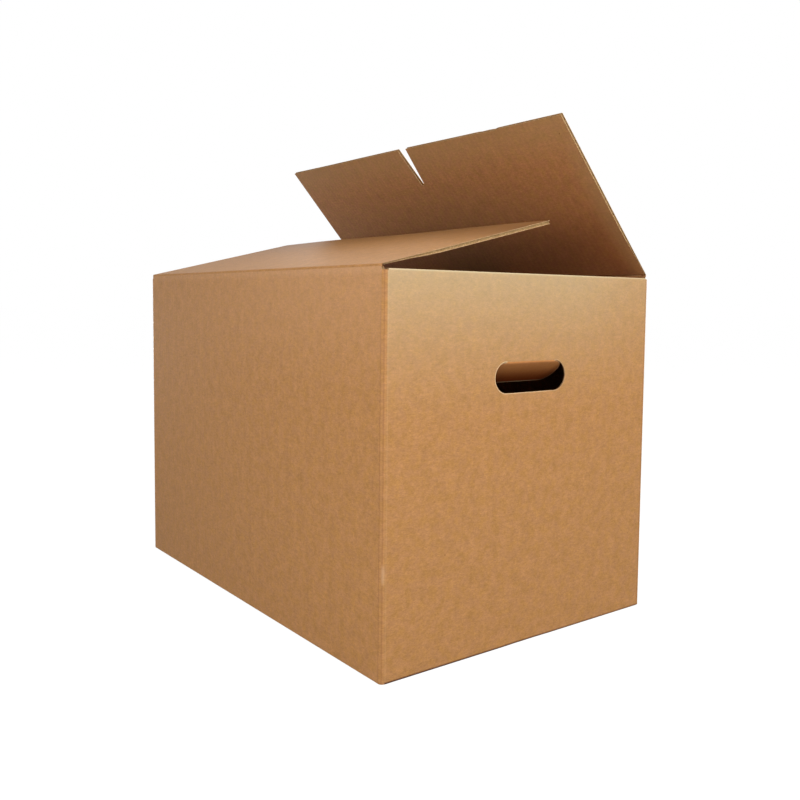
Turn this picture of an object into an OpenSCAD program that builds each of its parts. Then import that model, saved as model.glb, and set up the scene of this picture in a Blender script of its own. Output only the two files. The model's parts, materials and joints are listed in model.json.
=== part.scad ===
// Open moving box: one folded and glued corrugated sheet, with its two top side flaps hinged.
// Frame: origin at the middle of the underside and +Z up. The end walls face -Y and +Y,
// and the long side walls face -X and +X. All lengths are in millimetres.

/* [Carton] */
// Outside length, along Y
box_len = 610; // [480:5:760]
// Outside width, along X
box_w = 410; // [320:5:520]
// Height of the end walls, from the floor to the top fold
wall_h = 420; // [300:5:560]
// Thickness of the corrugated board
board_t = 4; // [3:0.25:5]

/* [Folds] */
// Inside radius of the four upright folds
upright_fold_r = 1; // [0.5:0.25:3]
// Outside radius of the creases where a flap folds in
crease_r = 1.5; // [0.5:0.25:2.5]
// Height left between flaps that lie over each other
layer_gap = 0.45; // [0.3:0.05:1]

/* [Hinged side flaps] */
// Depth of a side flap, from its crease to its free edge
flap_depth = 240; // [160:1:250]
// Distance from a side flap's front edge to the front of the box
flap_front_gap = 4; // [2:0.5:10]
// Distance from a side flap's back edge to the back of the box
flap_back_gap = 6; // [2:0.5:10]
// Running gap in the mitred crease under a side flap
crease_gap = 0.3; // [0.2:0.05:0.6]
// Distance from the crease line to the outer faces, so that a flap can hang down outside
crease_offset = 0.15; // [0.1:0.05:0.4]
// Angle of the left flap above level
left_open = 13.5; // [5:0.5:30]
// Angle of the right flap above level
right_open = 48; // [35:1:85]

/* [Locking slot in the right flap] */
// Length of the slot, from the flap's free edge
slot_depth = 62; // [30:1:90]
// Width of the slot at the free edge
slot_mouth = 18.5; // [12:0.5:30]
// Width of the slot at its blind end
slot_base = 6.5; // [5:0.5:11]
// Place of the slot along the box, from the middle
slot_y = 0; // [-120:5:120]

/* [Folded-in end flaps] */
// Depth of the end flaps, at the top and at the bottom
end_flap_depth = 238; // [120:1:238]
// Clearance from an end flap's side edge to the side wall
end_flap_clear = 1.5; // [1:0.5:4]

/* [Bottom] */
// Width of the seam where the outer bottom flaps meet
seam_gap = 1; // [0.5:0.5:4]
// Distance from the outer bottom flaps' cut ends to the faces of the end walls
bottom_inset = 0.5; // [0.25:0.25:3]
// Width of the tape under the seam
tape_w = 48; // [36:1:75]
// Thickness of the tape
tape_t = 0.2; // [0.1:0.05:0.4]
// Distance from the tape's ends to the ends of the bottom flaps
tape_end_gap = 4; // [1:1:30]

/* [Hand holes] */
// Width of a hand hole
hand_w = 110; // [80:1:140]
// Height of a hand hole
hand_h = 35; // [26:1:44]
// Drop from the top fold to the middle of a hand hole
hand_drop = 115; // [70:1:160]
// Angle that the cut-out tab is pushed in, from upright
tab_angle = 49; // [30:1:75]
// Width of the die's cut round the tab
tab_cut = 0.5; // [0.25:0.25:1.5]

/* [Glue lap] */
// Width of the lap that is glued inside the back right corner
lap_w = 35; // [25:1:50]
// Height left between the lap's ends and the end flaps
lap_trim = 8; // [3:1:20]

/* [Hidden] */
board_colour = "burlywood";
left_flap_colour = "tan";
right_flap_colour = "peru";
tape_colour = "goldenrod";
smooth = 64;      // sides of a full circle
past = 2;         // how far a cut runs past the board
tab_bend_steps = 6;

half_w = box_w / 2;
half_len = box_len / 2;
corner_r = upright_fold_r + board_t;     // outside radius of an upright fold
end_wall_half = half_w - corner_r;       // an end wall is flat between its upright folds
end_flap_half = half_w - board_t - end_flap_clear;
fold_z = board_t + layer_gap;            // underside of the bottom end flaps
hand_z = wall_h - hand_drop;             // middle of a hand hole
hand_r = hand_h / 2;
hand_flat = hand_w - hand_h;             // straight stretch of a hand hole
lap_z = fold_z + board_t + lap_trim;
lap_h = wall_h - board_t - lap_trim - lap_z;

// A side flap turns about a line just outside the corner of its wall. The mitre through that
// line is split by the running gap, and mitre_shift is half of the gap measured along X or Z.
crease_x = half_w + crease_offset;
crease_z = wall_h + layer_gap + board_t + crease_offset;
mitre_shift = crease_gap / 2 * sqrt(2);
flap_len = box_len - flap_front_gap - flap_back_gap;
flap_mid_y = (flap_front_gap - flap_back_gap) / 2;

bottom_flap_len = box_len - 2 * bottom_inset;
tape_len = bottom_flap_len - 2 * tape_end_gap;

// Draws an outline given in X and Z out along Y, both ways from the middle
module along_y(length) {
    rotate([90, 0, 0]) linear_extrude(length, center = true) children();
}

// Draws an outline given in Y and Z out along X, both ways from the middle
module along_x(length) {
    rotate([90, 0, 90]) linear_extrude(length, center = true) children();
}

// The same shape at both ends of the box
module both_ends() {
    for (turn = [0, 180]) rotate([0, 0, turn]) children();
}

// Block with rounded upright edges, standing on the floor
module rounded_block(size_x, size_y, height, r) {
    linear_extrude(height) {
        square([size_x - 2 * r, size_y], center = true);
        square([size_x, size_y - 2 * r], center = true);
        for (side_x = [-1, 1], side_y = [-1, 1])
            translate([side_x * (size_x / 2 - r), side_y * (size_y / 2 - r)]) circle(r, $fn = smooth);
    }
}

// Side walls with the four upright folds; the flat of the end walls is left out
module side_walls() {
    difference() {
        translate([0, 0, crease_r]) difference() {
            rounded_block(box_w, box_len, wall_h - crease_r, corner_r);
            translate([0, 0, -past])
                rounded_block(box_w - 2 * board_t, box_len - 2 * board_t, wall_h + past, upright_fold_r);
        }
        translate([0, 0, wall_h / 2])
            cube([2 * end_wall_half, box_len + past, wall_h + past], center = true);
    }
}

// Mitred top of the left side wall, up to the crease of its flap
module wall_top() {
    mitre_z = crease_z - crease_offset - mitre_shift;
    intersection() {
        rounded_block(box_w, box_len, crease_z, corner_r);
        translate([-half_w, flap_mid_y, 0]) along_y(flap_len) polygon([
            [0, wall_h - board_t],
            [0, mitre_z],
            [board_t, mitre_z - board_t],
            [board_t, wall_h - board_t]
        ]);
    }
}

// Outline of a bottom side flap with its creased outer corner, on the +X side
module bottom_side_outline() {
    translate([seam_gap / 2, 0]) square([half_w - crease_r - seam_gap / 2, board_t]);
    translate([seam_gap / 2, crease_r]) square([half_w - seam_gap / 2, board_t - crease_r]);
    translate([half_w - crease_r, crease_r]) circle(crease_r, $fn = smooth);
}

// Outer pair of bottom flaps, folded in from the side walls, recessed for the tape
module bottom_side_flaps() {
    difference() {
        intersection() {
            rounded_block(box_w, box_len, board_t, corner_r);
            for (side = [0, 1]) mirror([side, 0, 0]) along_y(bottom_flap_len) bottom_side_outline();
        }
        translate([-tape_w / 2, -tape_len / 2, -past]) cube([tape_w, tape_len, past + tape_t]);
    }
}

// Outline of an end wall between its two creases, at the +Y end
module end_wall_outline() {
    height = wall_h - fold_z;
    translate([half_len - board_t, fold_z]) {
        square([board_t - crease_r, height]);
        translate([0, crease_r]) square([board_t, height - 2 * crease_r]);
        for (z = [crease_r, height - crease_r])
            translate([board_t - crease_r, z]) circle(crease_r, $fn = smooth);
    }
}

// Outlines of the flaps at the foot and at the top of an end wall, folded in level
module end_flap_outline() {
    for (z = [fold_z, wall_h - board_t])
        translate([half_len - end_flap_depth, z]) square([end_flap_depth - crease_r, board_t]);
}

// Outline of a hand hole, a slot with round ends, or of its tab at an inset from it
module hand_outline(inset = 0) {
    square([hand_flat, hand_h - 2 * inset], center = true);
    for (side = [-1, 1]) translate([side * hand_flat / 2, 0]) circle(hand_r - inset, $fn = smooth);
}

// Section through a tab's bend, from inside the wall above it to the middle of the tab.
// The inner faces meet on the origin, and the outer face bends round that line.
module tab_bend_outline() {
    down = [sin(tab_angle), -cos(tab_angle)];
    outward = [-cos(tab_angle), -sin(tab_angle)];
    polygon([
        [-board_t, board_t],
        [0, board_t],
        [0, 0],
        hand_r * down,
        hand_r * down + board_t * outward,
        for (k = [tab_bend_steps:-1:0])
            let (turn = 180 + tab_angle * k / tab_bend_steps) board_t * [cos(turn), sin(turn)]
    ]);
}

// Cut-out of a hand hole, pushed in and still joined to the wall above it, at the -Y end
module hand_tab() {
    translate([0, board_t - half_len, hand_z + hand_r]) {
        rotate([tab_angle, 0, 0]) translate([0, -board_t / 2, -hand_r]) along_y(board_t)
            hand_outline(tab_cut);
        along_x(hand_flat - 2 * tab_cut) tab_bend_outline();
    }
}

// End walls with their top and bottom flaps, hand holes and tabs
module end_walls() {
    difference() {
        both_ends() {
            along_x(2 * end_wall_half) end_wall_outline();
            along_x(2 * end_flap_half) end_flap_outline();
        }
        translate([0, 0, hand_z]) along_y(box_len + past) hand_outline();
    }
    both_ends() hand_tab();
}

// Lap of the back wall, glued flat inside the right wall
module glue_lap() {
    translate([half_w - 2 * board_t, half_len - board_t - lap_w, lap_z]) cube([board_t, lap_w, lap_h]);
}

// Side flap lying level over the left wall, its crease line on the origin
module level_flap() {
    root = crease_offset + mitre_shift;
    translate([0, flap_mid_y, 0]) along_y(flap_len) polygon([
        [root, -crease_offset],
        [flap_depth, -crease_offset],
        [flap_depth, -crease_offset - board_t],
        [root + board_t, -crease_offset - board_t]
    ]);
}

// Tapered slot with a round blind end, cut in from the free edge of a level flap
module locking_slot() {
    base_r = slot_base / 2;
    mouth_r = slot_mouth / 2;
    blind_x = flap_depth - slot_depth + base_r;
    flare = (mouth_r - base_r) / (flap_depth - blind_x);  // half width gained for each millimetre
    translate([0, slot_y, -crease_offset - board_t - past]) linear_extrude(board_t + 2 * past) {
        polygon([
            [blind_x, -base_r],
            [flap_depth + past, -mouth_r - flare * past],
            [flap_depth + past, mouth_r + flare * past],
            [blind_x, base_r]
        ]);
        translate([blind_x, 0]) circle(base_r, $fn = smooth);
    }
}

module carton() {
    color(board_colour) {
        side_walls();
        for (side = [0, 1]) mirror([side, 0, 0]) wall_top();
        bottom_side_flaps();
        end_walls();
        glue_lap();
    }
}

module left_top_flap() {
    color(left_flap_colour)
        translate([-crease_x, 0, crease_z]) rotate([0, -left_open, 0]) level_flap();
}

module right_top_flap() {
    color(right_flap_colour)
        mirror([1, 0, 0]) translate([-crease_x, 0, crease_z]) rotate([0, -right_open, 0])
            difference() {
                level_flap();
                locking_slot();
            }
}

module bottom_tape() {
    color(tape_colour) translate([-tape_w / 2, -tape_len / 2, 0]) cube([tape_w, tape_len, tape_t]);
}

carton();
left_top_flap();
right_top_flap();
bottom_tape();
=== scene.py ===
# %% [markdown]
# # An open moving box
# The box is one sheet of corrugated board: two brown kraft papers, the liners, glued to a waved
# paper between them. A factory cuts the sheet flat and then folds it, and this lesson does the
# same. The walls could also be modelled folded, one panel at a time, but a flat sheet that goes
# through one folding rule keeps papers, waves and pattern in step at every crease.

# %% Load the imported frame
import json
import math
import bpy
import numpy as np
from mathutils import Matrix, Vector
from mathutils.geometry import delaunay_2d_cdt


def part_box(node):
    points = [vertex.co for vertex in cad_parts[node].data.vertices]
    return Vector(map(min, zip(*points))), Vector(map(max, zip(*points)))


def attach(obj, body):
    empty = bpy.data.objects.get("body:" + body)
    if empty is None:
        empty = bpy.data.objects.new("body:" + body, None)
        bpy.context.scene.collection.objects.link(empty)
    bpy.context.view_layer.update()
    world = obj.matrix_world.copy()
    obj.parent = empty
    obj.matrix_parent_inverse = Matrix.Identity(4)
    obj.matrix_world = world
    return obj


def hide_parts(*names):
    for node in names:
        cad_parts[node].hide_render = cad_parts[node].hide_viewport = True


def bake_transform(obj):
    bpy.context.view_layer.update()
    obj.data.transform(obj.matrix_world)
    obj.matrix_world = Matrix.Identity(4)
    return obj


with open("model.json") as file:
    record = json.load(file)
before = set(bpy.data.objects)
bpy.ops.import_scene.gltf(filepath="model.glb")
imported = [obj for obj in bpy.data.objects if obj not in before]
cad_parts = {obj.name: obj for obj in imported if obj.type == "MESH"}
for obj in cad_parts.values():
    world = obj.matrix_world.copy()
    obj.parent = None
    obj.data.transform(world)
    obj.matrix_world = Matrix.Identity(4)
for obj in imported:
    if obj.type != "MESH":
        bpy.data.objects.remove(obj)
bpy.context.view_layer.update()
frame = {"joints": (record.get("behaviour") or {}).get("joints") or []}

# %% [markdown]
# ## Sizes
# All flat work is in millimetres, because board is cut in millimetres. The outside sizes are read
# from the solid model and the rest repeats its values, so that what is drawn here lies where the
# solids lie.

# %% Sizes of the carton
MM = 0.001
board_t, liner_t = 4.0, 0.42        # thickness of the board and of each outer paper
wall_h = 420.0                      # height of the end walls
corner_r, crease_r = 5.0, 1.5       # outside radius of an upright fold and of a flap's crease
lower_z = 4.45                      # underside of the inner bottom flaps
_, carton_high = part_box("carton")
half_w, half_len = round(carton_high.x / MM, 2), round(carton_high.y / MM, 2)
hinge_x, _, hinge_z = frame["joints"][0]["pos_m"]
crease_x, crease_z = abs(hinge_x) / MM, hinge_z / MM
crease_off = crease_x - half_w      # from a hinge line to the outer faces
mitre_gap = 0.212                   # how much further the mitred edges beside it stay away
root_gap = crease_off + mitre_gap
flap_low, flap_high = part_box("left_top_flap")
flap_front, flap_back = round(flap_low.y / MM, 2), round(flap_high.y / MM, 2)
flap_depth, end_flap_depth = 240.0, 238.0
left_open, right_open = math.radians(13.5), math.radians(48)
hand_w, hand_h, hand_z = 110.0, 35.0, 305.0     # a hand hole, and the height of its middle
tab_angle, tab_cut = math.radians(49), 0.5      # how far its tab is pushed in, and the cut round it
flute_pitch = 7.9                   # from one wave of the middle paper to the next
print("carton", 2 * half_w, "x", 2 * half_len, "mm, side flaps from", flap_front, "to", flap_back)

# %% [markdown]
# ## The camera
# The photograph was taken from just below the rim, in front and to the left, so the uprights
# hardly lean and the end flaps show as a line. The place, the focal length and the small shift
# were fitted to the edges of the box.

# %% Camera
cam_place = Vector((-701.06, -993.82, 386.39)) * MM
cam_yaw, cam_pitch, cam_roll = (math.radians(a) for a in (-37.2145, 4.0356, 0.6031))
focal_px, centre_px, picture_px = 866.67, (405.53, 363.62), 800

ahead = Vector((
    -math.sin(cam_yaw) * math.cos(cam_pitch), math.cos(cam_yaw) * math.cos(cam_pitch), -math.sin(cam_pitch)))
level = Vector((math.cos(cam_yaw), math.sin(cam_yaw), 0))
upward = level.cross(ahead)
right = math.cos(cam_roll) * level + math.sin(cam_roll) * upward
up = math.cos(cam_roll) * upward - math.sin(cam_roll) * level
camera_data = bpy.data.cameras.new("camera")
camera_data.sensor_width = 36
camera_data.lens = focal_px / picture_px * camera_data.sensor_width
camera_data.shift_x = (picture_px / 2 - centre_px[0]) / picture_px
camera_data.shift_y = (centre_px[1] - picture_px / 2) / picture_px
camera = bpy.data.objects.new("camera", camera_data)
bpy.context.scene.collection.objects.link(camera)
turned = Matrix((right, up, -ahead)).transposed()
camera.matrix_world = Matrix.Translation(cam_place) @ turned.to_4x4()
bpy.context.scene.camera = camera
print("camera with a", round(camera_data.lens, 2), "mm lens")

# %% [markdown]
# ## The ring of walls
# Laid flat, the sheet is a row: right wall, front end, left wall, back end and the glue lap, with
# an upright fold after each wall. Every panel notes where it starts in the flat sheet, where that
# point stands on the floor plan, which way the panel runs there and which way it faces. R0 and R1
# are the right wall's two ends in the flat, and F, L, B and P those of the front end, the left
# wall, the back end and the lap.

# %% Panels and upright folds
fold_len = 6.0                      # width of an upright fold in the flat sheet
lap_width = 34.0
left_shift, right_shift = 1400.0, 400.0     # how far the side flaps' patterns lie before the carton's
flat_start = half_len - 0.4         # the right wall's raw edge, just inside the back fold
side_run, end_run = 2 * (half_len - corner_r), 2 * (half_w - corner_r)
rows = (
    ("right", flat_start + side_run / 2),
    ("front", end_run),
    ("left", side_run),
    ("back", end_run - board_t),
    ("lap", lap_width),
)

panels, folds = [], []
spot, u_now = np.array((half_w, flat_start)), 0.0
heading, outward = np.array((0.0, -1.0)), np.array((1.0, 0.0))
for panel_name, length in rows:
    end = u_now + length
    panels.append(dict(name=panel_name, start=u_now, end=end, spot=spot, heading=heading, outward=outward))
    centre = spot + heading * length - corner_r * outward
    folds.append(dict(start=end, centre=centre, outward=outward, heading=heading))
    spot, u_now = centre + corner_r * heading, end + fold_len
    heading, outward = -outward, heading
folds.pop()
fold_middles = [fold["start"] + fold_len / 2 for fold in folds]
end_middles = [panel["start"] + end_run / 2 for panel in panels if panel["name"] in ("front", "back")]
side_middles = [panel["start"] + side_run / 2 for panel in panels if panel["name"] in ("right", "left")]
R0, R1, F0, F1, L0, L1, B0, B1, P0, P1 = (u for panel in panels for u in (panel["start"], panel["end"]))
near_fold = fold_middles[1]         # the upright fold that faces the camera
print("flat sheet is", round(panels[-1]["end"], 1), "mm round, folds at", fold_middles)

# %% [markdown]
# ## Node trees as formulas
# A material or a Geometry Nodes tree is a formula drawn as boxes. It could be wired box by box,
# but it reads better as maths. A Wire is an output that can be added, multiplied and compared,
# and a Graph makes any other node from its type, its settings and its inputs.

# %% Graph and Wire
class Wire:
    """One output of a node, which can be used in sums."""

    def __init__(self, graph, socket):
        self.graph, self.socket = graph, socket

    def maths(self, operation, *others):
        return self.graph.node("ShaderNodeMath", {"operation": operation}, dict(enumerate((self, *others))))

    def __add__(self, other):
        return self.maths("ADD", other)

    def __sub__(self, other):
        return self.maths("SUBTRACT", other)

    def __mul__(self, other):
        return self.maths("MULTIPLY", other)

    def __truediv__(self, other):
        return self.maths("DIVIDE", other)

    def __rsub__(self, other):
        return (self * -1) + other

    __radd__, __rmul__ = __add__, __mul__

    def ease(self, start, end, low=0.0, high=1.0):
        """Runs smoothly from low at start to high at end."""
        values = {0: self, 1: start, 2: end, 3: low, 4: high}
        return self.graph.node("ShaderNodeMapRange", {"interpolation_type": "SMOOTHSTEP"}, values)

    def fade(self, start, end, low=0.0, high=1.0):
        """The same for a length, with its start and end in millimetres."""
        return self.ease(start * MM, end * MM, low, high)


class Graph:
    """A node tree, the one method that adds a node to it, and short forms for the usual nodes."""

    def __init__(self, tree):
        self.tree = tree

    def node(self, kind, settings, inputs, output=0):
        made = self.tree.nodes.new(kind)
        for name, value in settings.items():
            if name == "stops":
                stops = made.color_ramp.elements
                while len(stops) < len(value):
                    stops.new(0.5)
                for stop, (place, tone) in zip(stops, value):
                    stop.position, stop.color = place, tone
            else:
                setattr(made, name, value)
        for name, value in inputs.items():
            if isinstance(value, Wire):
                self.tree.links.new(value.socket, made.inputs[name])
            else:
                made.inputs[name].default_value = value
        return Wire(self, made.outputs[output])

    def noise(self, where, seed, scale, detail, rough=0.6):
        """A cloudy pattern with values about 0.5, scale clouds to the metre."""
        values = {"Vector": where, "W": seed, "Scale": scale, "Detail": detail, "Roughness": rough}
        return self.node("ShaderNodeTexNoise", {"noise_dimensions": "4D"}, values)

    def ramp(self, pattern, stops):
        """The colours that a pattern takes along some stops."""
        return self.node("ShaderNodeValToRGB", {"stops": stops}, {0: pattern})

    def mix(self, factor, first, second):
        """The first colour at a factor of 0, and the second at 1."""
        return self.node("ShaderNodeMix", {"data_type": "RGBA"}, {0: factor, 6: first, 7: second}, output=2)


def paint(red, green, blue):
    """A colour as a screen shows it, 0 to 255, as the linear colour that nodes use."""
    shown = [level / 255 for level in (red, green, blue)]
    linear = [c / 12.92 if c <= 0.04045 else ((c + 0.055) / 1.055) ** 2.4 for c in shown]
    return (*linear, 1.0)


def tones(colour, spread):
    """Three stops round a colour, for a ramp that a pattern about 0.5 runs along."""
    shares = [1 - spread, 1, 1 + spread]
    return [(place, paint(*(c * share for c in colour))) for place, share in zip((0.0, 0.5, 1.0), shares)]


print("a middle brown in linear light", [round(c, 3) for c in paint(176, 127, 73)[:3]])

# %% [markdown]
# ## Kraft paper
# The outer liner is smooth brown paper: faintly cloudy over a centimetre or two, with short
# fibres that run across the waves, a soft gloss, and the waves just showing through as ribs. A
# photograph of paper could be wrapped round it, but noise at the right scales has no seams and
# no size limit. All patterns read the flat sheet's own coordinates, so they follow the paper
# round each fold.

# %% What all papers share
def new_material(name):
    material = bpy.data.materials.new(name)
    material.use_nodes = True
    return material, Graph(material.node_tree)


def object_place(graph):
    """The place on the object itself, in metres."""
    return graph.node("ShaderNodeTexCoord", {}, {}, 3)


def sheet_place(graph):
    """The flat sheet's coordinates: both, across the waves, and along them."""
    flat = graph.node("ShaderNodeUVMap", {"uv_map": "flat"}, {})
    return flat, *(graph.node("ShaderNodeSeparateXYZ", {}, {0: flat}, axis) for axis in (0, 1))


cloud_scale, fibre_scale, speck_scale, blush_scale = 62.0, 330.0, 850.0, 90.0   # to the metre
cloud_share, fibre_share, speck_share = 0.95, 1.3, 1.45     # how strongly each shows in the colour
fibre_stretch = (2.2, 1.0, 1.0)     # fibres are this much longer across the waves


def paper_grain(graph, flat, colour, blush, spread, seed):
    """Mottled paper colour that blushes here and there, and the fibre and speck patterns of its relief."""
    values = {"Vector": flat, "Scale": fibre_stretch}
    long_way = graph.node("ShaderNodeMapping", {"vector_type": "TEXTURE"}, values)
    clouds = graph.noise(flat, seed, cloud_scale, 4.0)
    fibres = graph.noise(long_way, seed + 5, fibre_scale, 3.0)
    specks = graph.noise(long_way, seed + 3, speck_scale, 2.0, 0.7)
    centred = 0.5 - (cloud_share + fibre_share + speck_share) / 2
    pattern = clouds * cloud_share + fibres * fibre_share + specks * speck_share + centred
    mottled, blushed = (graph.ramp(pattern, tones(brown, spread)) for brown in (colour, blush))
    blushes = graph.noise(flat, seed + 9, blush_scale, 5.0).ease(0.36, 0.62)
    return graph.mix(blushes, mottled, blushed), fibres, specks


def distance_to(value, places):
    """Distance from value to the nearest of some places."""
    nearest = None
    for place in places:
        gap = (value - place * MM).maths("ABSOLUTE")
        nearest = gap if nearest is None else nearest.maths("MINIMUM", gap)
    return nearest


def line_at(value, places, width):
    """1 on lines at some places, fading to 0 at some width to each side of them."""
    return distance_to(value, places).fade(0.0, width, 1.0, 0.0)


def ribs_of(across):
    """The waves that show through a liner, from -1 to 1."""
    return (across * (2 * math.pi / (flute_pitch * MM))).maths("SINE")


def finish(material, graph, colour, roughness, relief, gloss):
    """Joins a material's patterns to its surface. Relief is a height, its depth and its strength."""
    height, depth, strength = relief
    bump = graph.node("ShaderNodeBump", {}, {"Strength": strength, "Distance": depth * MM, "Height": height})
    surface = graph.tree.nodes["Principled BSDF"]
    for name, wire in (("Base Color", colour), ("Roughness", roughness), ("Normal", bump)):
        graph.tree.links.new(wire.socket, surface.inputs[name])
    surface.inputs["Specular IOR Level"].default_value = gloss
    return material


def finish_paper(material, graph, colour, height, bump_depth, rough, gloss):
    """Ends a paper material, whose roughness follows its relief and lies about rough."""
    return finish(material, graph, colour, height * 0.08 + (rough - 0.04), (height, bump_depth, 0.6), gloss)


# %% [markdown]
# ## Marks of the die and of hands, and painted light
# New board is already marked: the scoring wheels press a groove beside each fold, and hands scuff
# it here and there. Painted shade in the folds, the grooves and the walls' feet, and painted sheen
# and highlights towards the walls' tops and creases, go into the colour too. Such marks could be
# painted on a picture. Here each is a mask, 1 where the mark is and 0 elsewhere, and its numbers
# are places in the flat sheet and strengths.

# %% Marks and painted light on the walls
end_sheen_low, side_light_low = 250.0, 270.0            # heights from which the walls get their painted sheen and painted light
front_grows, foot_grows = (600.0, 760.0), (640.0, 960.0)    # over which the painted sheen and the painted foot shade grow towards the near fold
left_fades = (1100.0, 1600.0)                       # over which the painted light on the side walls fades away from the near fold


def near_middle(across, middle, half):
    """1 within half of a middle line, 0 outside it."""
    return (across - middle * MM).maths("ABSOLUTE").fade(half, half + 1, 1.0, 0.0)


def on_walls(across, middles, run):
    """1 on the two walls that have these middle lines, 0 elsewhere."""
    return near_middle(across, middles[0], run / 2) + near_middle(across, middles[1], run / 2)


def on_flaps(across):
    """1 on the side flaps, whose patterns lie before the carton's, 0 on the carton."""
    return across.fade(-2, 0.0, 1.0, 0.0)


def painted_sheen_tops(across, along):
    """Painted sheen on the end walls below their top crease, and a painted highlight along it."""
    climb = (along - end_sheen_low * MM) * (1 / ((wall_h - end_sheen_low) * MM))
    rise = climb.maths("MAXIMUM", 0.0).maths("MINIMUM", 1.0).maths("POWER", 1.6)
    crease = line_at(along, [wall_h - 0.6], 1.7)
    fade = across.fade(*front_grows, 0.6, 1.0) * along.fade(wall_h, wall_h + 5, 1.0, 0.2)
    return (rise * fade * 0.34 + crease * 0.3) * on_walls(across, end_middles, end_run)


def painted_light_sides(across, along):
    """Painted light on the side walls, growing towards their top crease."""
    crease = along.fade(wall_h - 9, wall_h, 0.0, 0.1)
    rise = along.fade(side_light_low, wall_h, 0.0, 0.16) * across.fade(*left_fades, 1.0, 0.2)
    return (rise + crease) * on_walls(across, side_middles, side_run)


def painted_shade_feet(across, along):
    """Painted shade on the end walls where they turn in at the foot."""
    crease_shade = line_at(along, [0.9], 2.7) * across.fade(*foot_grows, 0.6, 1.0)
    return crease_shade * on_walls(across, end_middles, end_run)


def fleck_at(across, along, place, sizes, strength):
    """A small fleck of bark in the paper, dark within the first size and gone at the second."""
    apart = (across - place[0] * MM).maths("ABSOLUTE") + (along - place[1] * MM).maths("ABSOLUTE")
    return apart.fade(*sizes, strength, 0.0)


# %% Marks and painted shade round the hand holes
def hole_marks(across, along, ragged):
    """The thin torn rim round each hand hole, apart from where its tab stays joined, and the painted light
    and shade on each tab, darker towards its lower edge.
    """
    rims, tab_shading = [], []
    for middle in end_middles:
        here = near_middle(across, middle, 100)
        beside = (across - middle * MM).maths("ABSOLUTE") - (hand_w - hand_h) / 2 * MM
        over = beside.maths("MAXIMUM", 0.0)
        high = along - hand_z * MM
        apart = (over * over + high * high).maths("SQRT") - hand_h / 2 * MM + ragged * 0.4
        wall_side = apart.maths("GREATER_THAN", -tab_cut / 2 * MM)
        on_wall = apart.fade(0.3, 1.2, 0.65, 0.0) * wall_side
        on_tab = (apart * -1).fade(0.8, 2.2, 0.8, 0.0) * (1 - wall_side)
        joined = beside.fade(-2, 2, 1.0, 0.0) * high.maths("GREATER_THAN", 0.0)
        clean_cut = across.fade(middle - 50, middle - 10, 0.4, 1.0)
        rims.append((on_wall + on_tab) * (1 - joined) * here * clean_cut)
        # Painted light and shade of the tab.
        tab_shading.append((1 - wall_side) * high.fade(-hand_h / 2, hand_h / 2, 1.0, 0.5) * here)
    return rims[0].maths("MAXIMUM", rims[1]), tab_shading[0].maths("MAXIMUM", tab_shading[1])


# %% Outer liner
outer_brown, outer_blush = (176, 127, 73), (179, 129, 82)
# Painted shade in the folds' grooves and at the end walls' foot, and a painted highlight beside each fold.
crease_shade_brown, fold_highlight_tan, foot_shade_brown = paint(108, 58, 32), paint(230, 192, 148), paint(62, 26, 18)
# Painted sheen for the end walls' tops, painted light for the side walls, and the pale of a real scuff on the
# near fold.
top_sheen_tone, side_light_tone, worn_fold = paint(206, 200, 161), paint(224, 182, 146), paint(226, 188, 146)
# Painted shade for the left flap's front tip; the torn rim and the fleck are the paper's own.
torn_rim, tip_shade_brown, outer_fleck = paint(236, 204, 156), paint(110, 72, 40), paint(92, 56, 30)
# Painted light and shade on each pushed-in tab, darker towards its lower edge.
tab_light_and_shade = [(0.5, paint(222, 134, 64)), (0.8, paint(160, 82, 34)), (1.0, paint(128, 56, 18))]
scuff_z = 113.0                     # height of the rubbed place on the near fold


def outer_liner():
    material, graph = new_material("kraft_outer_liner")
    flat, across, along = sheet_place(graph)
    colour, fibres, specks = paper_grain(graph, flat, outer_brown, outer_blush, 0.11, 1.0)
    ragged = across + (graph.noise(flat, 9.0, 70.0, 4.0) - 0.5) * (1.6 * MM)
    # Painted shade in each upright fold and in the scored groove beside it.
    fold_shade = line_at(ragged, fold_middles, 1.1) * 0.26
    crease_shade = fold_shade + line_at(ragged, [m + 3.4 for m in fold_middles], 0.8) * 0.34
    # A painted highlight on the fold's other side.
    fold_highlight = line_at(ragged, [m - 3.3 for m in fold_middles], 0.9) * 0.1
    rims, tab_shading = hole_marks(across, along, ragged - across)
    scuff = (along - scuff_z * MM).maths("ABSOLUTE").fade(5, 13, 0.3, 0.0)
    scuff = scuff * line_at(ragged, [near_fold - 0.6], 2.4)
    # Painted shade towards the left flap's front tip.
    left_front = flap_front - left_shift
    tip = along.fade(85, 215) * across.fade(left_front, left_front + 260, 0.78, 0.1)
    marks = (
        (crease_shade, crease_shade_brown), (fold_highlight, fold_highlight_tan), (painted_shade_feet(across, along), foot_shade_brown),
        (painted_sheen_tops(across, along), top_sheen_tone), (painted_light_sides(across, along), side_light_tone),
        (tab_shading, graph.ramp(tab_shading, tab_light_and_shade)), (rims, torn_rim), (scuff, worn_fold),
        (tip * on_flaps(across), tip_shade_brown),
        (fleck_at(across, along, (933.6, 121), (0.4, 1.3), 0.6), outer_fleck),
    )
    for mask, tone in marks:
        colour = graph.mix(mask, colour, tone)
    relief = ribs_of(across) * 0.25 + fibres * 0.5 + specks * 0.4
    return finish_paper(material, graph, colour, relief, 0.12, 0.5, 0.08)


kraft_outer = outer_liner()
print(kraft_outer.name, "with", len(kraft_outer.node_tree.nodes), "nodes")

# %% [markdown]
# The inner liner is the rougher, darker side of the board, and the waves show through it more.
# Where a sheet is cut, its edge is pale and woolly, as the blade lifts the fibres.

# %% Inner liner and cut edges
inner_brown, inner_blush = (170, 121, 70), (173, 118, 76)
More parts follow.
